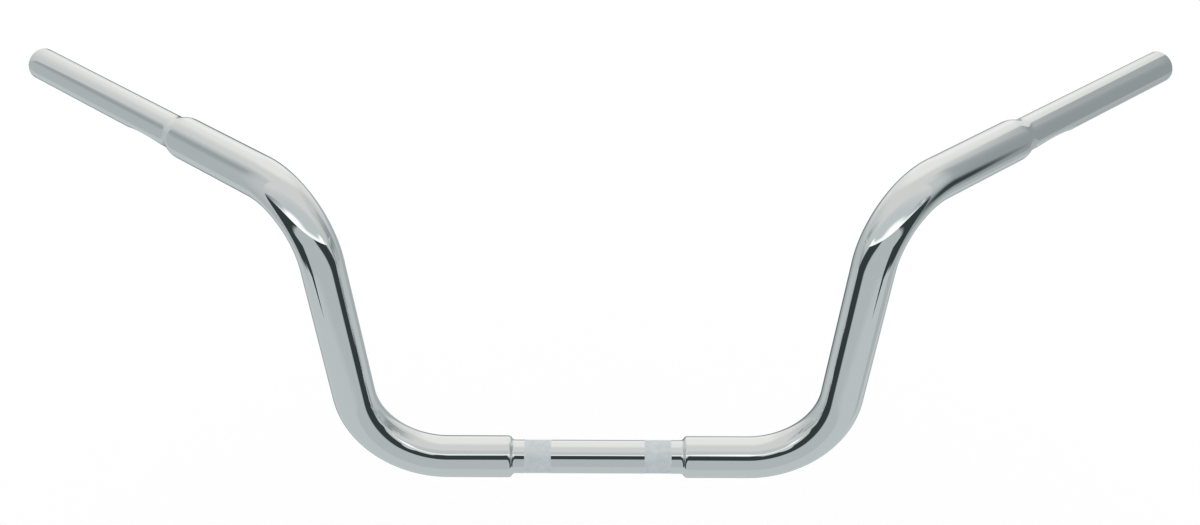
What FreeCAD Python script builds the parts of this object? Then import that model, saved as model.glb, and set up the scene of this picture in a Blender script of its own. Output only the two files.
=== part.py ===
import FreeCAD, Part
import math
import os

from FreeCAD import Vector

# Ape hanger handlebar: one bent steel tube, swaged down where things clamp on to it.
# Millimetres. Origin at the middle of the clamp section, +X to the right of
# someone facing the front of the bar, +Y back towards the rider, +Z up.

# Tube
BAR_DIAMETER = 31.75
SEAT_DIAMETER = 25.4
WALL = 3.0

# How much of a shoulder's length its curve takes to leave each straight, as a share
SHOULDER_EASE = 0.4

# Clamp section, between the two lower bends
CLAMP_STRAIGHT = 125.0
CLAMP_SHOULDER_LENGTH = 6.3
RISER_SPACING = 91.4
KNURL_WIDTH = 20.3
KNURL_RISE = 0.06
KNURL_RUN_OUT = 0.8

# Corners: where the centre lines of two straights would meet
LOWER_CORNER_SPACING = 350.0
CORNER_TO_CORNER = 232.5
UPPER_CORNER_TO_END = 340.0
LOWER_BEND_RADIUS = 68.0
UPPER_BEND_RADIUS = 55.0

# Angles in degrees
UPRIGHT_LEAN = 6.3
PULLBACK = 43.0
GRIP_DROOP = 3.0

# Grip end
GRIP_STRAIGHT = 182.5
GRIP_SHOULDER_LENGTH = 17.0
END_CHAMFER = 0.8
END_REAM_DEPTH = 60.0
END_REAM_OVERSIZE = 0.25
MOUTH_CHAMFER = 0.5

# Wiring dimple, pressed into the front underside of each grip
DIMPLE_FROM_SHOULDER = 27.0
DIMPLE_LENGTH = 47.0
DIMPLE_DEPTH = 1.8
DIMPLE_NOSE_RADIUS = 20.0
DIMPLE_EDGE_RADIUS = 5.0
DIMPLE_FORWARD_ANGLE = 40.0

# Derived sizes
BAR_RADIUS = BAR_DIAMETER / 2
SEAT_RADIUS = SEAT_DIAMETER / 2
BAR_BORE_RADIUS = BAR_RADIUS - WALL
SEAT_BORE_RADIUS = SEAT_RADIUS - WALL
REAM_RADIUS = SEAT_BORE_RADIUS + END_REAM_OVERSIZE
KNURL_RADIUS = SEAT_RADIUS + KNURL_RISE

UP = Vector(0, 0, 1)
RIGHT = Vector(1, 0, 0)


class Outline:
    """Half section of a turned shape: distance along its axis against radius, from one end to the other."""

    def __init__(self, along):
        self.last = (along, 0.0)
        self.pieces = []

    def line_to(self, along, radius):
        self.pieces.append([self.last, (along, radius)])
        self.last = (along, radius)

    def shoulder_to(self, along, radius):
        """A smooth S, parallel to the axis at both ends."""
        start_along, start_radius = self.last
        ease = SHOULDER_EASE * (along - start_along)
        handles = [(start_along + ease, start_radius), (along - ease, radius)]
        self.pieces.append([self.last, *handles, (along, radius)])
        self.last = (along, radius)

    def turned(self, origin, heading, seam):
        """The solid that the half section sweeps about the axis through origin along heading."""
        self.line_to(self.last[0], 0.0)
        edges = []
        for piece in self.pieces:
            points = [origin + heading * along + seam * radius for along, radius in piece]
            curve = Part.BezierCurve()
            curve.setPoles(points)
            edges.append(Part.makeLine(*points) if len(points) == 2 else curve.toShape())
        edges.append(Part.makeLine(edges[-1].lastVertex().Point, edges[0].firstVertex().Point))
        return Part.Face(Part.Wire(edges)).revolve(origin, heading, 360)


class Arm:
    """Centre line of the right arm: lower bend, upright, upper bend and grip."""

    def __init__(self):
        lean = math.radians(90 - UPRIGHT_LEAN)
        back = math.radians(PULLBACK)
        droop = math.radians(GRIP_DROOP)
        self.upright = Vector(math.cos(lean), 0, math.sin(lean))
        self.grip = Vector(
            math.cos(back) * math.cos(droop),
            math.sin(back) * math.cos(droop),
            -math.sin(droop),
        )
        self.upright_inside = FreeCAD.Rotation(RIGHT, self.upright).multVec(UP)
        self.grip_top = self.grip.cross(UP).cross(self.grip).normalize()
        self.lower_corner = RIGHT * (LOWER_CORNER_SPACING / 2)
        self.upper_corner = self.lower_corner + self.upright * CORNER_TO_CORNER
        self.lower_tangent = LOWER_BEND_RADIUS * math.tan(RIGHT.getAngle(self.upright) / 2)
        self.upper_tangent = UPPER_BEND_RADIUS * math.tan(self.upright.getAngle(self.grip) / 2)


def bend(corner, tangent, heading_in, heading_out, bend_radius, radius):
    """A round bar turned from one heading to the next about the bend's centre, its seam on the inside."""
    start = corner - heading_in * tangent
    axis = heading_in.cross(heading_out).normalize()
    inward = axis.cross(heading_in)
    section = Part.Circle(start, heading_in, radius)
    section.XAxis = inward
    disc = Part.Face(Part.Wire(section.toShape()))
    return disc.revolve(start + inward * bend_radius, axis, math.degrees(heading_in.getAngle(heading_out)))


def bends_and_upright(arm, radius):
    """The constant-diameter stretch of the right arm, from the first bend to the end of the second."""
    lower = bend(arm.lower_corner, arm.lower_tangent, RIGHT, arm.upright, LOWER_BEND_RADIUS, radius)
    upright = Outline(arm.lower_tangent)
    upright.line_to(arm.lower_tangent, radius)
    upright.line_to(CORNER_TO_CORNER - arm.upper_tangent, radius)
    upper = bend(arm.upper_corner, arm.upper_tangent, arm.upright, arm.grip, UPPER_BEND_RADIUS, radius)
    return [lower, upright.turned(arm.lower_corner, arm.upright, arm.upright_inside), upper]


def clamp_outside(arm):
    """The straight between the lower bends: a shoulder down to the clamp diameter at each end, two knurls."""
    bend_start = LOWER_CORNER_SPACING / 2 - arm.lower_tangent
    seat_end = CLAMP_STRAIGHT / 2
    outline = Outline(-bend_start)
    outline.line_to(-bend_start, BAR_RADIUS)
    outline.line_to(-seat_end - CLAMP_SHOULDER_LENGTH, BAR_RADIUS)
    outline.shoulder_to(-seat_end, SEAT_RADIUS)
    for centre in (-RISER_SPACING / 2, RISER_SPACING / 2):
        outline.line_to(centre - KNURL_WIDTH / 2, SEAT_RADIUS)
        outline.line_to(centre - KNURL_WIDTH / 2 + KNURL_RUN_OUT, KNURL_RADIUS)
        outline.line_to(centre + KNURL_WIDTH / 2 - KNURL_RUN_OUT, KNURL_RADIUS)
        outline.line_to(centre + KNURL_WIDTH / 2, SEAT_RADIUS)
    outline.line_to(seat_end, SEAT_RADIUS)
    outline.shoulder_to(seat_end + CLAMP_SHOULDER_LENGTH, BAR_RADIUS)
    outline.line_to(bend_start, BAR_RADIUS)
    return outline.turned(Vector(0, 0, 0), RIGHT, UP)


def clamp_bore(arm):
    """The bore of the same stretch, tapering where the outside has its shoulders."""
    bend_start = LOWER_CORNER_SPACING / 2 - arm.lower_tangent
    seat_end = CLAMP_STRAIGHT / 2
    outline = Outline(-bend_start)
    outline.line_to(-bend_start, BAR_BORE_RADIUS)
    outline.line_to(-seat_end - CLAMP_SHOULDER_LENGTH, BAR_BORE_RADIUS)
    outline.line_to(-seat_end, SEAT_BORE_RADIUS)
    outline.line_to(seat_end, SEAT_BORE_RADIUS)
    outline.line_to(seat_end + CLAMP_SHOULDER_LENGTH, BAR_BORE_RADIUS)
    outline.line_to(bend_start, BAR_BORE_RADIUS)
    return outline.turned(Vector(0, 0, 0), RIGHT, UP)


def grip_end_outside(arm):
    """The rest of the arm past the upper bend: full diameter, shoulder, grip and chamfered end."""
    grip_start = UPPER_CORNER_TO_END - GRIP_STRAIGHT
    outline = Outline(arm.upper_tangent)
    outline.line_to(arm.upper_tangent, BAR_RADIUS)
    outline.line_to(grip_start - GRIP_SHOULDER_LENGTH, BAR_RADIUS)
    outline.shoulder_to(grip_start, SEAT_RADIUS)
    outline.line_to(UPPER_CORNER_TO_END - END_CHAMFER, SEAT_RADIUS)
    outline.line_to(UPPER_CORNER_TO_END, SEAT_RADIUS - END_CHAMFER)
    return outline.turned(arm.upper_corner, arm.grip, arm.grip_top)


def grip_end_bore(arm):
    """The bore of the same stretch, tapering at the shoulder and reamed at the open end for a plug."""
    grip_start = UPPER_CORNER_TO_END - GRIP_STRAIGHT
    ream_start = UPPER_CORNER_TO_END - END_REAM_DEPTH
    outline = Outline(arm.upper_tangent)
    outline.line_to(arm.upper_tangent, BAR_BORE_RADIUS)
    outline.line_to(grip_start - GRIP_SHOULDER_LENGTH, BAR_BORE_RADIUS)
    outline.line_to(grip_start, SEAT_BORE_RADIUS)
    outline.line_to(ream_start, SEAT_BORE_RADIUS)
    outline.line_to(ream_start + END_REAM_OVERSIZE, REAM_RADIUS)
    outline.line_to(UPPER_CORNER_TO_END - MOUTH_CHAMFER, REAM_RADIUS)
    outline.line_to(UPPER_CORNER_TO_END, REAM_RADIUS + MOUTH_CHAMFER)
    return outline.turned(arm.upper_corner, arm.grip, arm.grip_top)


def dimple_die(arm, offset):
    """The press tool's nose, a stretch of a wide ring laid along the grip, grown by offset."""
    across = arm.grip.cross(UP).normalize()
    down = across.cross(arm.grip).normalize() * -1
    forward = math.radians(DIMPLE_FORWARD_ANGLE)
    outward = down * math.cos(forward) + across * math.sin(forward)
    ring_axis = outward.cross(arm.grip)
    crest_radius = (DIMPLE_LENGTH / 2) ** 2 / (2 * DIMPLE_DEPTH) + DIMPLE_DEPTH / 2
    along = UPPER_CORNER_TO_END - GRIP_STRAIGHT + DIMPLE_FROM_SHOULDER
    deepest = arm.upper_corner + arm.grip * along + outward * (SEAT_RADIUS - DIMPLE_DEPTH)
    ring_centre = deepest + outward * crest_radius
    half_angle = math.degrees(DIMPLE_LENGTH / crest_radius)
    nose = Part.makeCircle(DIMPLE_NOSE_RADIUS + offset, deepest + outward * DIMPLE_NOSE_RADIUS, arm.grip)
    disc = Part.Face(Part.Wire(nose))
    disc.rotate(ring_centre, ring_axis, -half_angle)
    return disc.revolve(ring_centre, ring_axis, 2 * half_angle)


def dimpled(grip, arm):
    """The grip with the dimple pressed in and its rim rounded over."""
    pressed = grip.cut(dimple_die(arm, 0.0))
    rim = [edge for face in pressed.Faces if isinstance(face.Surface, Part.Toroid) for edge in face.Edges]
    return pressed.makeFillet(DIMPLE_EDGE_RADIUS, rim)


def with_mirror(shapes):
    """The right-hand shapes followed by their left-hand twins."""
    return shapes + [shape.mirror(Vector(0, 0, 0), RIGHT) for shape in shapes]


def joined(shapes):
    """One solid from shapes that meet face to face."""
    return shapes[0].multiFuse(shapes[1:]).removeSplitter()


def handlebar():
    arm = Arm()
    grip = dimpled(grip_end_outside(arm), arm)
    bore = grip_end_bore(arm).cut(dimple_die(arm, WALL))
    outside = [clamp_outside(arm)] + with_mirror(bends_and_upright(arm, BAR_RADIUS) + [grip])
    inside = [clamp_bore(arm)] + with_mirror(bends_and_upright(arm, BAR_BORE_RADIUS) + [bore])
    return joined(outside).cut(joined(inside)).Solids[0]


os.makedirs("parts", exist_ok=True)
bar = handlebar()
bar.exportStep("parts/handlebar.step")
box = bar.BoundBox
print("valid", bar.isValid(), "solids", len(bar.Solids), "faces", len(bar.Faces))
print("mass at 7.85 g/cc, kg", round(bar.Volume * 7.85e-6, 3))
print("box", [round(v, 1) for v in (box.XMin, box.YMin, box.ZMin, box.XMax, box.YMax, box.ZMax)])
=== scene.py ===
"""Looks of the ape hanger handlebar: a bent chromed tube with two knurled riser seats, in a light tent."""

import logging
import math
from dataclasses import dataclass, field
from enum import Enum
from typing import Any

import bpy
import numpy as np
from mathutils import Matrix, Vector


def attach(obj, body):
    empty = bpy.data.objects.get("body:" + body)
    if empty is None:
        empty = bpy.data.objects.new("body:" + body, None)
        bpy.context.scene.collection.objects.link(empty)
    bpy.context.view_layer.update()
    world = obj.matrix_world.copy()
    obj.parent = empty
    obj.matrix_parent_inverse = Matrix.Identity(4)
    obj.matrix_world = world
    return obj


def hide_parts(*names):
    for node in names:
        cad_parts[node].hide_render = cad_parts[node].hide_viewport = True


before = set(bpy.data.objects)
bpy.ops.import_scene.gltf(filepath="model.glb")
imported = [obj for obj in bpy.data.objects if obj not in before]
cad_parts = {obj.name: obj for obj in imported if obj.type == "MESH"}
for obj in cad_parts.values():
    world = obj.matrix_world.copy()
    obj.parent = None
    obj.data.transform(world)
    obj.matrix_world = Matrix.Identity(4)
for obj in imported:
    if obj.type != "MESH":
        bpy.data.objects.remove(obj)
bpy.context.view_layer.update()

LOG = logging.getLogger("handlebar")
MM = 0.001
BODY = "root"
CAD_NODE = "handlebar"
IMAGE_WIDTH_PX = 1200
WHITE = "#ffffff"
GAP_DARK = "#373f41"


class Side(Enum):
    """The two sides of the bar, each with the sign of its X coordinates."""

    LEFT = -1
    RIGHT = 1


def linear(colour: str) -> tuple[float, float, float, float]:
    """Turn an sRGB hex colour into linear RGBA.

    Args:
        colour: Six hex digits after a hash sign.

    Returns:
        Linear red, green, blue and an alpha of one.
    """
    shares = [int(colour[k : k + 2], 16) / 255 for k in (1, 3, 5)]
    red, green, blue = [s / 12.92 if s <= 0.04045 else ((s + 0.055) / 1.055) ** 2.4 for s in shares]
    return red, green, blue, 1.0


def add_node(
    tree: bpy.types.NodeTree, kind: str, settings: dict[str, Any], inputs: dict[Any, Any]
) -> bpy.types.Node:
    """Add a node, set it up and link it.

    Args:
        tree: The node tree that gets the node.
        kind: Blender's name for the node type.
        settings: Attributes of the node.
        inputs: Input sockets by name or number, each with a value or with the output socket to link.

    Returns:
        The new node.
    """
    node = tree.nodes.new(kind)
    for name, value in settings.items():
        setattr(node, name, value)
    for name, value in inputs.items():
        if isinstance(value, bpy.types.NodeSocket):
            tree.links.new(value, node.inputs[name])
        else:
            node.inputs[name].default_value = value
    return node


def new_material(name: str) -> tuple[bpy.types.Material, bpy.types.NodeTree]:
    """Make an empty node material.

    Args:
        name: Name of the material.

    Returns:
        The material and its node tree.
    """
    material = bpy.data.materials.new(name)
    material.use_nodes = True
    material.node_tree.nodes.clear()
    return material, material.node_tree


def ring_mesh(name: str, points: np.ndarray, sharp_angle: float) -> bpy.types.Object:
    """Make a closed mesh from a grid of points that wraps round in both directions.

    Each grid cell is a quad. Its corners go along the columns first, so it faces the way that the column
    direction crossed with the row direction points.

    Args:
        name: Name of the object and its mesh.
        points: Grid of points, rows by columns by three, in metres.
        sharp_angle: Edges that turn by more than this, in radians, are shaded sharp.

    Returns:
        The linked object, at the origin.
    """
    rows, columns = points.shape[:2]
    here = np.arange(rows * columns).reshape(rows, columns)
    beside = np.roll(here, -1, axis=1)
    ahead = np.roll(here, -1, axis=0)
    across = np.roll(ahead, -1, axis=1)
    quads = np.stack([here, beside, across, ahead], axis=-1).reshape(-1, 4)
    mesh = bpy.data.meshes.new(name)
    mesh.vertices.add(rows * columns)
    mesh.vertices.foreach_set("co", points.astype(np.float32).ravel())
    mesh.loops.add(quads.size)
    mesh.loops.foreach_set("vertex_index", quads.astype(np.int32).ravel())
    mesh.polygons.add(len(quads))
    mesh.polygons.foreach_set("loop_start", np.arange(0, quads.size, 4, dtype=np.int32))
    mesh.update(calc_edges=True)
    mesh.polygons.foreach_set("use_smooth", np.ones(len(quads), dtype=bool))
    mesh.set_sharp_from_angle(angle=sharp_angle)
    mesh.validate()
    thing = bpy.data.objects.new(name, mesh)
    bpy.context.scene.collection.objects.link(thing)
    return thing


def turned(vector: np.ndarray, axis: np.ndarray, angles: np.ndarray) -> np.ndarray:
    """Turn one vector about an axis by many angles.

    The part along the axis stays, and the rest goes round by cosine and sine.

    Args:
        vector: The vector to turn.
        axis: Unit vector of the axis.
        angles: Angles in radians.

    Returns:
        One turned vector for each angle.
    """
    along = axis * (axis @ vector)
    rest = vector - along
    return along + np.cos(angles)[:, None] * rest + np.sin(angles)[:, None] * np.cross(axis, rest)


@dataclass(frozen=True)
class Run:
    """One straight or one round bend of the centre line."""

    start: float
    length: float
    origin: np.ndarray
    heading: np.ndarray
    normal: np.ndarray
    axis: np.ndarray | None = None
    bend_radius: float = 0.0

    def at(self, distance: np.ndarray) -> tuple[np.ndarray, np.ndarray, np.ndarray]:
        """Follow the run.

        A straight adds the heading times the distance. A bend turns the start point, heading and normal
        about the bend's centre by the distance over the bend radius.

        Args:
            distance: Distances from the bar's middle, within the run.

        Returns:
            Points, headings and normals.
        """
        past = distance - self.start
        if self.axis is None:
            points = self.origin + past[:, None] * self.heading
            headings = np.broadcast_to(self.heading, points.shape)
            return points, headings, np.broadcast_to(self.normal, points.shape)
        angles = past / self.bend_radius
        to_centre = np.cross(self.axis, self.heading) * self.bend_radius
        points = self.origin + to_centre - turned(to_centre, self.axis, angles)
        return points, turned(self.heading, self.axis, angles), turned(self.normal, self.axis, angles)


@dataclass(frozen=True)
class CentreLine:
    """Centre line of the right half: clamp section, lower bend, upright, upper bend and grip."""

    lower_corner_spacing: float = 350.0 * MM
    corner_to_corner: float = 232.5 * MM
    upper_corner_to_end: float = 340.0 * MM
    lower_bend_radius: float = 68.0 * MM
    upper_bend_radius: float = 55.0 * MM
    upright_lean: float = math.radians(6.3)
    pullback: float = math.radians(43.0)
    grip_droop: float = math.radians(3.0)

    def headings(self) -> tuple[np.ndarray, np.ndarray, np.ndarray]:
        """Return the unit headings of the clamp section, the upright and the grip."""
        clamp = np.array([1.0, 0.0, 0.0])
        upright = np.array([math.sin(self.upright_lean), 0.0, math.cos(self.upright_lean)])
        level = math.cos(self.grip_droop)
        grip = np.array(
            [math.cos(self.pullback) * level, math.sin(self.pullback) * level, -math.sin(self.grip_droop)]
        )
        return clamp, upright, grip

    def corners(self) -> tuple[np.ndarray, np.ndarray]:
        """Return the points where the straights' centre lines would meet, lower and upper."""
        clamp, upright, _ = self.headings()
        lower = clamp * self.lower_corner_spacing / 2
        return lower, lower + upright * self.corner_to_corner

    def tangents(self) -> tuple[float, float]:
        """Return how far each bend reaches from its corner: radius times the tangent of half the turn."""
        clamp, upright, grip = self.headings()
        lower = self.lower_bend_radius * math.tan(math.acos(clamp @ upright) / 2)
        upper = self.upper_bend_radius * math.tan(math.acos(upright @ grip) / 2)
        return lower, upper

    def runs(self) -> list[Run]:
        """Return the five runs in order from the bar's middle, each starting where the last one ends."""
        clamp, upright, grip = self.headings()
        lower_corner, upper_corner = self.corners()
        lower_tangent, upper_tangent = self.tangents()
        middle = np.zeros(3)
        top = np.array([0.0, 0.0, 1.0])
        bend_start = self.lower_corner_spacing / 2 - lower_tangent
        runs = [Run(0.0, bend_start, middle, clamp, top)]

        def turn_to(heading: np.ndarray, radius: float) -> None:
            """Add the bend from the last run's heading to a new one."""
            last = runs[-1]
            axis = np.cross(last.heading, heading)
            axis = axis / np.linalg.norm(axis)
            angle = math.acos(last.heading @ heading)
            origin = last.origin + last.heading * last.length
            start = last.start + last.length
            runs.append(Run(start, angle * radius, origin, last.heading, last.normal, axis, radius))

        def straight(origin: np.ndarray, heading: np.ndarray, length: float) -> None:
            """Add the straight after the last bend."""
            last = runs[-1]
            turn = np.array([last.length / last.bend_radius])
            normal = turned(last.normal, last.axis, turn)[0]
            runs.append(Run(last.start + last.length, length, origin, heading, normal))

        turn_to(upright, self.lower_bend_radius)
        upright_length = self.corner_to_corner - lower_tangent - upper_tangent
        straight(lower_corner + upright * lower_tangent, upright, upright_length)
        turn_to(grip, self.upper_bend_radius)
        straight(upper_corner + grip * upper_tangent, grip, self.upper_corner_to_end - upper_tangent)
        return runs

    def at(self, distance: np.ndarray) -> tuple[np.ndarray, np.ndarray, np.ndarray]:
        """Give points and two cross directions at distances along the right half.

        Args:
            distance: Distances from the bar's middle, none negative.

        Returns:
            Points, normals, and the headings crossed with the normals.
        """
        points = np.zeros((len(distance), 3))
        headings = np.zeros_like(points)
        normals = np.zeros_like(points)
        for run in self.runs():
            here = distance >= run.start
            points[here], headings[here], normals[here] = run.at(distance[here])
        return points, normals, np.cross(headings, normals)


class Profile:
    """Rows of a turned wall in order, each a distance along the centre line and a radius."""

    def __init__(self, distance: float, radius: float) -> None:
        """Start with one row."""
        self.distances = [np.array([distance])]
        self.radii = [np.array([radius])]

    def last(self) -> tuple[float, float]:
        """Return the distance and radius of the last row."""
        return float(self.distances[-1][-1]), float(self.radii[-1][-1])

    def add(self, distances: np.ndarray, radii: np.ndarray) -> None:
        """Add rows after the last one."""
        self.distances.append(distances)
        self.radii.append(radii)

    def line(self, distance: float, radius: float, rows: int = 1) -> None:
        """Go straight to a new distance and radius in even rows."""
        share = np.linspace(0.0, 1.0, rows + 1)[1:]
        start, start_radius = self.last()
        self.add(start + share * (distance - start), start_radius + share * (radius - start_radius))

    def shoulder(self, distance: float, radius: float, ease: float, rows: int) -> None:
        """Go to a new distance and radius along a smooth S.

        The S is a cubic curve whose two handles lie along the axis, each ease times the length.
        """
        t = np.linspace(0.0, 1.0, rows + 1)[1:]
        start, start_radius = self.last()
        along = 3 * t * (1 - t) ** 2 * ease + 3 * t**2 * (1 - t) * (1 - ease) + t**3
        rise = 3 * t**2 - 2 * t**3
        self.add(start + along * (distance - start), start_radius + rise * (radius - start_radius))

    def rounded(self, distance: float, radius: float, rows: int) -> None:
        """Go round a quarter of an ellipse, from along the axis to square with it."""
        angle = np.linspace(0.0, math.pi / 2, rows + 1)[1:]
        start, start_radius = self.last()
        self.add(
            start + np.sin(angle) * (distance - start),
            radius + np.cos(angle) * (start_radius - radius),
        )

    def rows(self) -> tuple[np.ndarray, np.ndarray]:
        """Return all distances and all radii."""
        return np.concatenate(self.distances), np.concatenate(self.radii)


@dataclass(frozen=True)
class Dimple:
    """Wiring dimple: the mark of a round-nosed press tool, laid along the front underside of the grip."""

    from_shoulder: float = 27.0 * MM
    length: float = 47.0 * MM
    depth: float = 1.8 * MM
    nose_radius: float = 20.0 * MM
    rim_blend: float = 1.2 * MM
    least_rim_blend: float = 0.05 * MM
    forward_angle: float = math.radians(40.0)

    def outward(self, grip: np.ndarray) -> np.ndarray:
        """Return the unit direction from the grip's axis to the middle of the dimple."""
        across = np.cross(grip, [0.0, 0.0, 1.0])
        across = across / np.linalg.norm(across)
        down = np.cross(grip, across)
        return down * math.cos(self.forward_angle) + across * math.sin(self.forward_angle)

    def pressed(
        self, radius: np.ndarray, along: np.ndarray, cosine: np.ndarray, seat: float, grow: np.ndarray
    ) -> np.ndarray:
        """Press the tool into a wall.

        The tool's crest is an arc along the grip, and its nose a circle across it. A wall point's radius is
        the smaller of its own and the distance at which a ray from the axis meets the nose, with a rounded
        rim between.

        Args:
            radius: Radius of the wall before, rows by one.
            along: Distance from the dimple's middle along the grip, rows by one.
            cosine: Cosine of the angle round the grip from the dimple's middle, rows by columns.
            seat: Outer radius of the grip.
            grow: How much larger than the tool's the nose is, for the far side of the wall, rows by one.

        Returns:
            Radius of the wall after, rows by columns.
        """
        crest_radius = (self.length / 2) ** 2 / (2 * self.depth) + self.depth / 2
        crest = seat - self.depth + crest_radius - np.sqrt(crest_radius**2 - along**2)
        nose = self.nose_radius + grow
        centre = crest + self.nose_radius
        under = nose**2 - centre**2 * (1 - cosine**2)
        meets = (under > 0) & (cosine > 0)
        tool = np.where(meets, centre * cosine - np.sqrt(np.maximum(under, 0.0)), 2 * seat)
        tip_share = np.clip(1 - (2 * along / self.length) ** 2, 0.0, 1.0)
        blend = self.least_rim_blend + self.rim_blend * tip_share
        share = np.clip(0.5 + 0.5 * (tool - radius) / blend, 0.0, 1.0)
        return tool + (radius - tool) * share - blend * share * (1 - share)


@dataclass(frozen=True)
class KnurledSeat:
    """Diamond-knurled band where a riser clamps the bar."""

    side: Side
    spacing: float = 91.4 * MM
    width: float = 20.3 * MM
    run_out: float = 0.8 * MM
    rise: float = 0.06 * MM
    groove_depth: float = 0.26 * MM
    backing_depth: float = 0.36 * MM
    seat_radius: float = 12.7 * MM
    grooves_round: int = 64
    groove_pitch_along: float = 1.8 * MM
    columns: int = 512
    rows: int = 90
    sharp_angle: float = math.radians(60)

    def ends(self) -> tuple[float, float]:
        """Return the X of the band's left and right ends."""
        centre = self.side.value * self.spacing / 2
        return centre - self.width / 2, centre + self.width / 2

    def build(self) -> bpy.types.Object:
        """Make the band as a closed ring.

        Two families of V grooves wind round the bar in opposite ways. Each is a triangle wave of the turns
        round plus or minus the distance along over the pitch. The lower of the two waves gives rows of
        four-sided points, which fade out over the run-out at both ends.

        Returns:
            The band's object.
        """
        left, right = self.ends()
        x = np.linspace(left, right, self.rows)
        angle = np.linspace(0.0, 2 * math.pi, self.columns, endpoint=False)
        turns = self.grooves_round * angle[None, :] / (2 * math.pi)
        steps = x[:, None] / self.groove_pitch_along
        ridges = [1 - np.abs(2 * ((turns + sign * steps) % 1.0) - 1) for sign in (1, -1)]
        height = np.minimum(*ridges)
        fade = np.clip(np.minimum(x - left, right - x) / self.run_out, 0.0, 1.0)[:, None]
        outer = self.seat_radius + fade * (self.rise - self.groove_depth * (1 - height))
        backing = np.full((2, self.columns), self.seat_radius - self.backing_depth)
        radius = np.concatenate([outer, backing])
        along = np.concatenate([x, [right, left]])[:, None] * np.ones_like(radius)
        points = np.stack([along, -radius * np.sin(angle), radius * np.cos(angle)], axis=-1)
        return ring_mesh(f"knurled_seat_{self.side.name.lower()}", points, self.sharp_angle)


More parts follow.
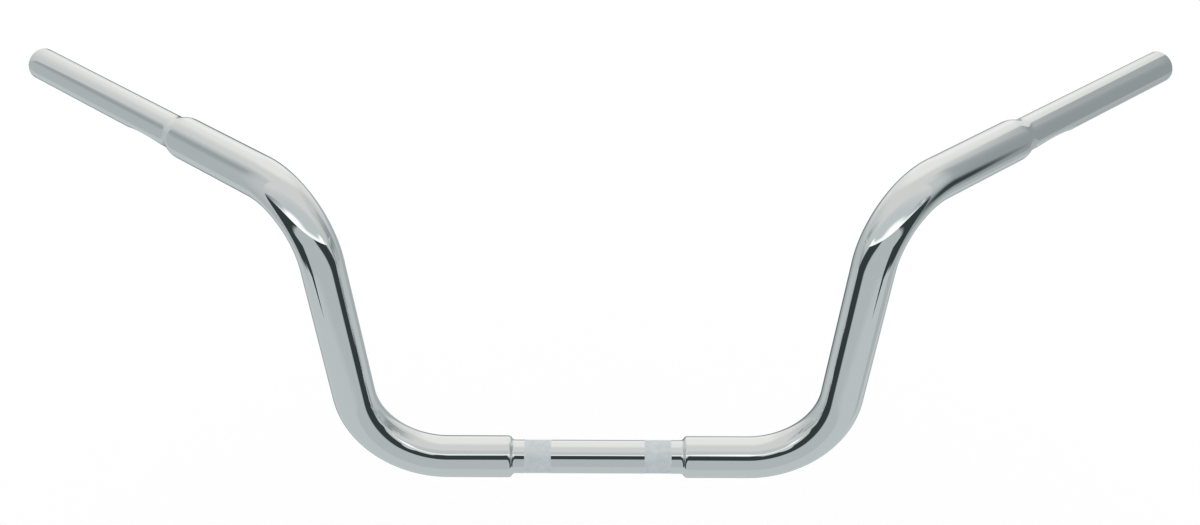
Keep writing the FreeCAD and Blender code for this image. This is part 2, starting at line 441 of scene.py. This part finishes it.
@dataclass(frozen=True)
class Tube:
    """The hollow bar: full diameter through the bends, swaged down at the clamp section and the grips."""

    line: CentreLine
    dimple: Dimple
    seat: KnurledSeat
    bar_radius: float = 31.75 / 2 * MM
    seat_radius: float = 12.7 * MM
    wall: float = 3.0 * MM
    clamp_shoulder_ease: float = 0.65
    grip_shoulder_ease: float = 0.4
    clamp_straight: float = 125.0 * MM
    clamp_shoulder: float = 6.3 * MM
    grip_straight: float = 182.5 * MM
    grip_shoulder: float = 17.0 * MM
    end_edge: float = 0.8 * MM
    mouth_edge: float = 0.5 * MM
    ream_depth: float = 60.0 * MM
    ream_oversize: float = 0.25 * MM
    under_knurl: float = 0.4 * MM
    plating_throw: float = 18.0 * MM
    past_dimple: float = 3.0 * MM
    columns: int = 120
    sharp_angle: float = math.radians(35)

    def grip_start(self) -> float:
        """Return the distance along the centre line at which the grip's plain length starts."""
        return self.end() - self.grip_straight

    def end(self) -> float:
        """Return the length of half the centre line."""
        last = self.line.runs()[-1]
        return last.start + last.length

    def half_loop(self) -> tuple[np.ndarray, np.ndarray, np.ndarray]:
        """Follow the right half's wall from the middle along the outside, over the end and back inside.

        Returns:
            Distances, radii and whether the row is inside.
        """
        bends = self.line.runs()[1::2]
        end = self.end()
        grip = self.grip_start()
        bar_bore = self.bar_radius - self.wall
        seat_bore = self.seat_radius - self.wall
        ream = seat_bore + self.ream_oversize
        band_start = (self.seat.spacing - self.seat.width) / 2
        band_end = (self.seat.spacing + self.seat.width) / 2
        clamp_end = self.clamp_straight / 2
        dimple_reach = self.dimple.from_shoulder + self.dimple.length / 2

        out = Profile(0.0, self.seat_radius)
        out.line(band_start, self.seat_radius, rows=6)
        out.line(band_start, self.seat_radius - self.under_knurl)
        out.line(band_end, self.seat_radius - self.under_knurl, rows=3)
        out.line(band_end, self.seat_radius)
        out.line(clamp_end, self.seat_radius, rows=3)
        out.shoulder(clamp_end + self.clamp_shoulder, self.bar_radius, self.clamp_shoulder_ease, rows=20)
        for bend in bends:
            out.line(bend.start, self.bar_radius, rows=14)
            out.line(bend.start + bend.length, self.bar_radius, rows=66)
        out.line(grip - self.grip_shoulder, self.bar_radius, rows=12)
        out.shoulder(grip, self.seat_radius, self.grip_shoulder_ease, rows=24)
        out.line(grip + dimple_reach + self.past_dimple, self.seat_radius, rows=64)
        out.line(end - self.end_edge, self.seat_radius, rows=14)
        out.rounded(end, self.seat_radius - self.end_edge, rows=6)

        bore = Profile(end, ream + self.mouth_edge)
        bore.line(end - self.mouth_edge, ream)
        bore.line(end - self.ream_depth, ream, rows=8)
        bore.line(end - self.ream_depth - self.ream_oversize, seat_bore)
        bore.line(grip, seat_bore, rows=36)
        bore.line(grip - self.grip_shoulder, bar_bore, rows=2)
        for bend in bends[::-1]:
            bore.line(bend.start + bend.length, bar_bore, rows=2)
            bore.line(bend.start, bar_bore, rows=20)
        bore.line(clamp_end + self.clamp_shoulder, bar_bore, rows=2)
        bore.line(clamp_end, seat_bore, rows=2)
        bore.line(0.0, seat_bore, rows=4)

        outside, outer_radii = out.rows()
        inside, bore_radii = bore.rows()
        within = np.concatenate([np.zeros(len(outside), bool), np.ones(len(inside), bool)])
        return np.concatenate([outside, inside]), np.concatenate([outer_radii, bore_radii]), within

    def surface(self) -> tuple[np.ndarray, np.ndarray]:
        """Work out the whole wall, outside and bore, as one grid that wraps both ways.

        Each point is the centre line's point plus the radius along a direction that goes round by cosine and
        sine of the two cross directions. The left half repeats the right half's rows in reverse with X
        turned over.

        Returns:
            The grid of points, and how much plating each has, from one outside to none deep inside.
        """
        distance, radius, within = self.half_loop()
        angle = np.linspace(0.0, 2 * math.pi, self.columns, endpoint=False)
        centres, normals, binormals = self.line.at(distance)
        over = np.cos(angle)[None, :, None]
        across = np.sin(angle)[None, :, None]
        round_about = over * normals[:, None] + across * binormals[:, None]
        along = distance[:, None] - self.grip_start() - self.dimple.from_shoulder
        cosine = round_about @ self.dimple.outward(self.line.headings()[2])
        grow = np.where(within, self.wall, 0.0)[:, None]
        near = np.abs(along[:, 0]) < self.dimple.length
        wall = np.repeat(radius[:, None], self.columns, axis=1)
        wall[near] = self.dimple.pressed(
            radius[near, None], along[near], cosine[near], self.seat_radius, grow[near]
        )
        half = centres[:, None] + wall[:, :, None] * round_about
        depth = np.where(within, self.end() - distance, 0.0)
        plating = np.repeat(np.exp(-depth / self.plating_throw)[:, None], self.columns, axis=1)
        mirrored = half[-2:0:-1] * np.array([-1.0, 1.0, 1.0])
        return np.concatenate([half, mirrored]), np.concatenate([plating, plating[-2:0:-1]])

    def build(self) -> bpy.types.Object:
        """Make the tube's mesh with its plating as a point attribute."""
        points, plating = self.surface()
        tube = ring_mesh("tube", points, self.sharp_angle)
        layer = tube.data.attributes.new("plating", "FLOAT", "POINT")
        layer.data.foreach_set("value", plating.astype(np.float32).ravel())
        return tube


@dataclass(frozen=True)
class BuffedChrome:
    """Bright chrome plate over buffed nickel on steel tube, bare drawn steel deep in the bore.

    It gives a near-perfect mirror. Buffing leaves it very slightly hazy in patches.
    """

    name: str = "chrome_plate_buffed"
    chrome: str = "#e8e9e9"
    steel: str = "#6d6a66"
    roughness: float = 0.012
    haze: float = 0.018
    steel_roughness: float = 0.45
    haze_patch: float = 30.0 * MM
    clear_below: float = 0.4
    hazy_above: float = 0.7

    def material(self) -> bpy.types.Material:
        """Make the material. The tube's plating attribute mixes from bare steel to chrome."""
        material, tree = new_material(self.name)
        place = add_node(tree, "ShaderNodeTexCoord", {}, {}).outputs["Object"]
        patches = add_node(
            tree, "ShaderNodeTexNoise", {}, {"Vector": place, "Scale": 1 / self.haze_patch, "Detail": 3.0}
        ).outputs["Fac"]
        hazy = add_node(
            tree,
            "ShaderNodeMapRange",
            {},
            {
                "Value": patches,
                "From Min": self.clear_below,
                "From Max": self.hazy_above,
                "To Min": self.roughness,
                "To Max": self.roughness + self.haze,
            },
        ).outputs["Result"]
        plating = add_node(tree, "ShaderNodeAttribute", {"attribute_name": "plating"}, {}).outputs["Fac"]
        colour = add_node(
            tree,
            "ShaderNodeMix",
            {"data_type": "RGBA"},
            {"Factor": plating, 6: linear(self.steel), 7: linear(self.chrome)},
        ).outputs[2]
        roughness = add_node(
            tree,
            "ShaderNodeMix",
            {"data_type": "FLOAT"},
            {"Factor": plating, 2: self.steel_roughness, 3: hazy},
        ).outputs[0]
        surface = add_node(
            tree,
            "ShaderNodeBsdfPrincipled",
            {},
            {"Base Color": colour, "Metallic": 1.0, "Roughness": roughness},
        ).outputs["BSDF"]
        add_node(tree, "ShaderNodeOutputMaterial", {}, {"Surface": surface})
        return material


@dataclass(frozen=True)
class KnurledChrome:
    """Chrome plate over rolled diamonds, left as rolled.

    The points scatter the light every way, so the band looks pale and matt with slightly cloudy patches.
    Part of that scatter is given as plain diffuse light.
    """

    name: str = "chrome_plate_knurled"
    light: str = "#e6eaec"
    dull: str = "#ccd2d5"
    roughness: float = 0.6
    mirror_share: float = 0.55
    cloud: float = 4.0 * MM

    def material(self) -> bpy.types.Material:
        """Make the material, with a cloud of duller plating."""
        material, tree = new_material(self.name)
        place = add_node(tree, "ShaderNodeTexCoord", {}, {}).outputs["Object"]
        clouds = add_node(
            tree, "ShaderNodeTexNoise", {}, {"Vector": place, "Scale": 1 / self.cloud, "Detail": 2.0}
        ).outputs["Fac"]
        colour = add_node(
            tree,
            "ShaderNodeMix",
            {"data_type": "RGBA"},
            {"Factor": clouds, 6: linear(self.light), 7: linear(self.dull)},
        ).outputs[2]
        surface = add_node(
            tree,
            "ShaderNodeBsdfPrincipled",
            {},
            {"Base Color": colour, "Metallic": self.mirror_share, "Roughness": self.roughness},
        ).outputs["BSDF"]
        add_node(tree, "ShaderNodeOutputMaterial", {}, {"Surface": surface})
        return material


@dataclass(frozen=True)
class Handlebar:
    """The whole part: the tube and its two knurled seats."""

    line: CentreLine = field(default_factory=CentreLine)
    dimple: Dimple = field(default_factory=Dimple)

    def build(self) -> list[bpy.types.Object]:
        """Make and dress all pieces and put them on the body.

        Returns:
            The pieces.
        """
        seats = [KnurledSeat(side) for side in Side]
        tube = Tube(self.line, self.dimple, KnurledSeat(Side.RIGHT)).build()
        tube.data.materials.append(BuffedChrome().material())
        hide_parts(CAD_NODE)
        knurled = KnurledChrome().material()
        pieces = [tube]
        for seat in seats:
            band = seat.build()
            band.data.materials.append(knurled)
            pieces.append(band)
        for piece in pieces:
            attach(piece, BODY)
        return pieces


def seen_in_chrome_only(thing: bpy.types.Object) -> None:
    """Set a studio thing to show in reflections but not to the camera or as a shadow."""
    thing.visible_camera = False
    thing.visible_diffuse = False
    thing.visible_transmission = False
    thing.visible_shadow = False


@dataclass(frozen=True)
class SoftCap:
    """A round patch of the tent: one tone within a cone of directions, with a soft edge."""

    towards: tuple[float, float, float]
    edge_cosine: float
    full_cosine: float
    tone: str


@dataclass(frozen=True)
class SoftOval:
    """An oval on a panel with a soft edge.

    The centre is X and Z and the half size is across and up, in millimetres. The oval is full up to a share
    of its half size.
    """

    centre: tuple[float, float]
    half_size: tuple[float, float]
    full_share: float

    def share(self, tree: bpy.types.NodeTree, place: bpy.types.NodeSocket) -> bpy.types.NodeSocket:
        """Work out how far a point lies in the oval: the distance in half sizes, turned into a soft step.

        Args:
            tree: The panel's node tree.
            place: Object coordinates of the point.

        Returns:
            A socket that is one in the middle and none outside.
        """
        across, up = (size * MM for size in self.half_size)
        centre_x, centre_z = (value * MM for value in self.centre)
        apart = add_node(
            tree,
            "ShaderNodeVectorMath",
            {"operation": "MULTIPLY_ADD"},
            {0: place, 1: (1 / across, 0.0, 1 / up), 2: (-centre_x / across, 0.0, -centre_z / up)},
        ).outputs["Vector"]
        length = add_node(tree, "ShaderNodeVectorMath", {"operation": "LENGTH"}, {0: apart})
        return add_node(
            tree,
            "ShaderNodeMapRange",
            {"interpolation_type": "SMOOTHSTEP"},
            {"Value": length.outputs["Value"], "From Min": 1.0, "From Max": self.full_share},
        ).outputs["Result"]


@dataclass(frozen=True)
class SoftSpot(SoftOval):
    """A soft oval with a tone of its own, like a lamp or a shadow behind the panel's fabric."""

    tone: str = WHITE


@dataclass(frozen=True)
class Panel:
    """An upright panel of the studio, seen only in the chrome. Sizes are in millimetres.

    Its ends are X and Y. Soft spots lie over its plain tone in order. Outside its cover it is clear.
    """

    name: str
    ends: tuple[tuple[float, float], tuple[float, float]]
    bottom: float
    top: float
    tone: str
    spots: tuple[SoftSpot, ...] = ()
    cover: SoftOval | None = None
    strength: float = 1.0

    def build(self) -> bpy.types.Object:
        """Make the panel and its light."""
        (start_x, start_y), (end_x, end_y) = self.ends
        corners = [
            (start_x, start_y, self.bottom),
            (end_x, end_y, self.bottom),
            (end_x, end_y, self.top),
            (start_x, start_y, self.top),
        ]
        mesh = bpy.data.meshes.new(self.name)
        mesh.from_pydata([[value * MM for value in corner] for corner in corners], [], [(0, 1, 2, 3)])
        panel = bpy.data.objects.new(self.name, mesh)
        bpy.context.scene.collection.objects.link(panel)
        mesh.materials.append(self.material())
        seen_in_chrome_only(panel)
        return panel

    def material(self) -> bpy.types.Material:
        """Make the panel's fabric, lit from behind."""
        material, tree = new_material(f"{self.name}_fabric")
        place = add_node(tree, "ShaderNodeTexCoord", {}, {}).outputs["Object"]
        tone: Any = linear(self.tone)
        for spot in self.spots:
            tone = add_node(
                tree,
                "ShaderNodeMix",
                {"data_type": "RGBA"},
                {"Factor": spot.share(tree, place), 6: tone, 7: linear(spot.tone)},
            ).outputs[2]
        surface = add_node(
            tree, "ShaderNodeEmission", {}, {"Color": tone, "Strength": self.strength}
        ).outputs["Emission"]
        if self.cover is not None:
            clear = add_node(tree, "ShaderNodeBsdfTransparent", {}, {}).outputs["BSDF"]
            covered = self.cover.share(tree, place)
            surface = add_node(
                tree, "ShaderNodeMixShader", {}, {"Fac": covered, 1: clear, 2: surface}
            ).outputs["Shader"]
        add_node(tree, "ShaderNodeOutputMaterial", {}, {"Surface": surface})
        return material


@dataclass(frozen=True)
class Tent:
    """What the chrome mirrors: a light tent with a darker gap in front, where the photographer stands.

    Tones lie over each other in order, so a later patch covers an earlier one. Panels stand round the bar at
    a distance. The light one in front hides the top of the dark gap from the upper bends and leaves it in
    view of the clamp section, and soft lamps shine through it. Dark cards beside it draw the thin streaks on
    the outer sides of the uprights. Grey screens to the left and right darken the lower halves of the grips.
    """

    plain: str = WHITE
    horizon: str = "#c8cece"
    caps: tuple[SoftCap, ...] = (
        # Roof, back wall with two lighter patches, and a greyer patch to the right.
        SoftCap((0.0, 0.0, 1.0), 0.0, 0.8, "#dfe1df"),
        SoftCap((0.0, 1.0, 0.2), 0.5, 0.97, "#eeefec"),
        SoftCap((0.0, 0.94, 0.34), 0.93, 0.985, WHITE),
        SoftCap((0.0, 0.71, 0.71), 0.82, 0.98, "#f8f8f4"),
        SoftCap((0.86, 0.3, 0.42), 0.86, 0.99, "#d0d5d4"),
        # Lower half, in two steps.
        SoftCap((0.0, 0.0, -1.0), 0.07, 0.12, "#c0c8ca"),
        SoftCap((0.0, 0.0, -1.0), 0.42, 0.52, "#c6ced0"),
        # Dark gap in front and above it, with a light patch on both sides at its top.
        SoftCap((0.0, -0.799, -0.602), 0.19, 0.26, GAP_DARK),
        SoftCap((0.0, -0.81, 0.588), 0.985, 0.990, GAP_DARK),
        SoftCap((-0.56, -0.62, 0.55), 0.985, 0.990, "#d8dcda"),
        SoftCap((0.56, -0.62, 0.55), 0.985, 0.990, "#d8dcda"),
        # Pale ground that leaves only a ring of the gap dark.
        SoftCap((0.0, -0.832, -0.555), 0.62, 0.69, "#bdc5c7"),
        SoftCap((0.0, -0.97, -0.25), 0.80, 0.83, "#bdc5c7"),
        SoftCap((0.0, 0.0, -1.0), 0.55, 0.61, "#c8d0d2"),
        # Shade low at the back.
        SoftCap((-0.32, 0.80, -0.50), 0.89, 0.95, "#b0b7b9"),
        SoftCap((0.0, 0.82, -0.57), 0.87, 0.94, "#6c7375"),
        SoftCap((0.32, 0.80, -0.50), 0.89, 0.95, "#b0b7b9"),
    )
    panels: tuple[Panel, ...] = (
        Panel(
            "front_light",
            ends=((-1200, -255), (1200, -255)),
            bottom=275,
            top=1170,
            tone="#b2b8b9",
            spots=(
                SoftSpot((0, 280), (1100, 45), 0.3, "#eef0f0"),
                SoftSpot((-330, 300), (190, 100), 0.25),
                SoftSpot((215, 300), (190, 100), 0.25),
                SoftSpot((650, 345), (80, 40), 0.25),
            ),
            cover=SoftOval((0, 275), (1100, 700), 0.3),
            strength=1.35,
        ),
        Panel("front_dark_left", ((-760, -240), (-375, -240)), -90, 130, GAP_DARK),
        Panel("front_dark_right", ((375, -240), (760, -240)), -90, 130, GAP_DARK),
        Panel(
            "left_screen",
            ends=((-835, 330), (-387, -51)),
            bottom=10,
            top=660,
            tone="#b9c0c2",
            spots=(
                SoftSpot((-600, 347), (5000, 94), 0.2, "#a6adaf"),
                SoftSpot((-387, 330), (150, 260), 0.1, "#ccd1d2"),
            ),
            cover=SoftOval((-600, 10), (5000, 650), 0.52),
        ),
        Panel(
            "right_screen",
            ends=((386, -53), (817, 350)),
            bottom=-207,
            top=860,
            tone="#9ca3a5",
            spots=(
                SoftSpot((640, -207), (5000, 306), 0.8, "#b6bdbf"),
                SoftSpot((386, 585), (220, 396), 0.2, "#d4d8d7"),
                SoftSpot((386, 340), (140, 150), 0.1, "#ccd1d2"),
                SoftSpot((459, 182), (105, 72), 0.3, "#3c4446"),
            ),
            cover=SoftOval((640, 99), (5000, 761), 0.19),
        ),
        Panel(
            "right_end_screen",
            ends=((817, 350), (671, 507)),
            bottom=-207,
            top=790,
            tone="#b0b6b8",
            spots=(SoftSpot((740, 215), (5000, 270), 0.3, "#9ca3a5"),),
            cover=SoftOval((740, 100), (5000, 690), 0.65),
        ),
    )

    def hang(self) -> None:
        """Make the world: plain white light, and the tent's tones for what the chrome mirrors."""
        world = bpy.data.worlds.new("light_tent")
        world.use_nodes = True
        tree = world.node_tree
        tree.nodes.clear()
        direction = add_node(tree, "ShaderNodeTexCoord", {}, {}).outputs["Generated"]
        tone: Any = linear(self.horizon)
        for cap in self.caps:
            cosine = add_node(
                tree,
                "ShaderNodeVectorMath",
                {"operation": "DOT_PRODUCT"},
                {0: direction, 1: Vector(cap.towards).normalized()},
            ).outputs["Value"]
            share = add_node(
                tree,
                "ShaderNodeMapRange",
                {"interpolation_type": "SMOOTHSTEP"},
                {"Value": cosine, "From Min": cap.edge_cosine, "From Max": cap.full_cosine},
            ).outputs["Result"]
            tone = add_node(
                tree,
                "ShaderNodeMix",
                {"data_type": "RGBA"},
                {"Factor": share, 6: tone, 7: linear(cap.tone)},
            ).outputs[2]
        light = add_node(tree, "ShaderNodeBackground", {}, {"Color": linear(self.plain)})
        mirrored = add_node(tree, "ShaderNodeBackground", {}, {"Color": tone})
        glossy = add_node(tree, "ShaderNodeLightPath", {}, {}).outputs["Is Glossy Ray"]
        surface = add_node(
            tree,
            "ShaderNodeMixShader",
            {},
            {"Fac": glossy, 1: light.outputs["Background"], 2: mirrored.outputs["Background"]},
        )
        add_node(tree, "ShaderNodeOutputWorld", {}, {"Surface": surface.outputs["Shader"]})
        bpy.context.scene.world = world

    def stand_panels(self) -> list[bpy.types.Object]:
        """Make all panels.

        Returns:
            The panels' objects.
        """
        return [panel.build() for panel in self.panels]


@dataclass(frozen=True)
class Studio:
    """A pale floor well below the bar, and the camera at the photo's place."""

    floor_colour: str = "#f4f4f4"
    floor_height: float = -0.3
    floor_size: float = 40.0
    floor_glow: float = 0.1
    camera_at: tuple[float, float, float] = (0.00758, -0.99819, 0.87324)
    camera_elevation: float = math.radians(34.756)
    camera_azimuth: float = math.radians(0.342)
    focal_px: float = 1723.8
    sensor_mm: float = 36.0

    def floor(self) -> bpy.types.Object:
        """Make the pale floor. The chrome mirrors the tent's lower half in its place."""
        half = self.floor_size / 2
        corners = [(-half, -half), (half, -half), (half, half), (-half, half)]
        mesh = bpy.data.meshes.new("floor")
        mesh.from_pydata([(x, y, self.floor_height) for x, y in corners], [], [(0, 1, 2, 3)])
        floor = bpy.data.objects.new("floor", mesh)
        bpy.context.scene.collection.objects.link(floor)
        material, tree = new_material("floor_paper_white")
        paper = add_node(
            tree, "ShaderNodeBsdfDiffuse", {}, {"Color": linear(self.floor_colour)}
        ).outputs["BSDF"]
        glow = add_node(
            tree, "ShaderNodeEmission", {}, {"Color": linear(WHITE), "Strength": self.floor_glow}
        ).outputs["Emission"]
        both = add_node(tree, "ShaderNodeAddShader", {}, {0: paper, 1: glow}).outputs["Shader"]
        rays = add_node(tree, "ShaderNodeLightPath", {}, {}).outputs
        seen = rays["Is Camera Ray"]
        for name in ("Is Glossy Ray", "Is Transmission Ray"):
            seen = add_node(
                tree, "ShaderNodeMath", {"operation": "MAXIMUM"}, {0: seen, 1: rays[name]}
            ).outputs[0]
        surface = add_node(tree, "ShaderNodeMixShader", {}, {"Fac": seen, 1: paper, 2: both})
        add_node(tree, "ShaderNodeOutputMaterial", {}, {"Surface": surface.outputs["Shader"]})
        mesh.materials.append(material)
        floor.visible_glossy = False
        return floor

    def camera(self) -> None:
        """Place the camera where the photo was taken from."""
        level = math.cos(self.camera_elevation)
        right = Vector((math.cos(self.camera_azimuth), math.sin(self.camera_azimuth), 0.0))
        forward = Vector(
            (
                -math.sin(self.camera_azimuth) * level,
                math.cos(self.camera_azimuth) * level,
                -math.sin(self.camera_elevation),
            )
        )
        lens = bpy.data.cameras.new("camera")
        lens.sensor_fit = "HORIZONTAL"
        lens.sensor_width = self.sensor_mm
        lens.lens = self.sensor_mm * self.focal_px / IMAGE_WIDTH_PX
        lens.clip_end = 100.0
        camera = bpy.data.objects.new("camera", lens)
        turn = Matrix((right, right.cross(forward), -forward)).transposed()
        camera.matrix_world = Matrix.Translation(self.camera_at) @ turn.to_4x4()
        bpy.context.scene.collection.objects.link(camera)
        bpy.context.scene.camera = camera


def main() -> None:
    """Build the bar, the studio and the camera, and note the sizes."""
    logging.basicConfig(level=logging.INFO, format="%(name)s: %(message)s")
    for piece in Handlebar().build():
        LOG.info("%s: %d faces", piece.name, len(piece.data.polygons))
    studio = Studio()
    tent = Tent()
    tent.hang()
    for panel in tent.stand_panels():
        LOG.info("%s", panel.name)
    LOG.info("%s", studio.floor().name)
    studio.camera()
    bpy.context.scene.view_settings.view_transform = "Standard"


if __name__ == "__main__":
    main()
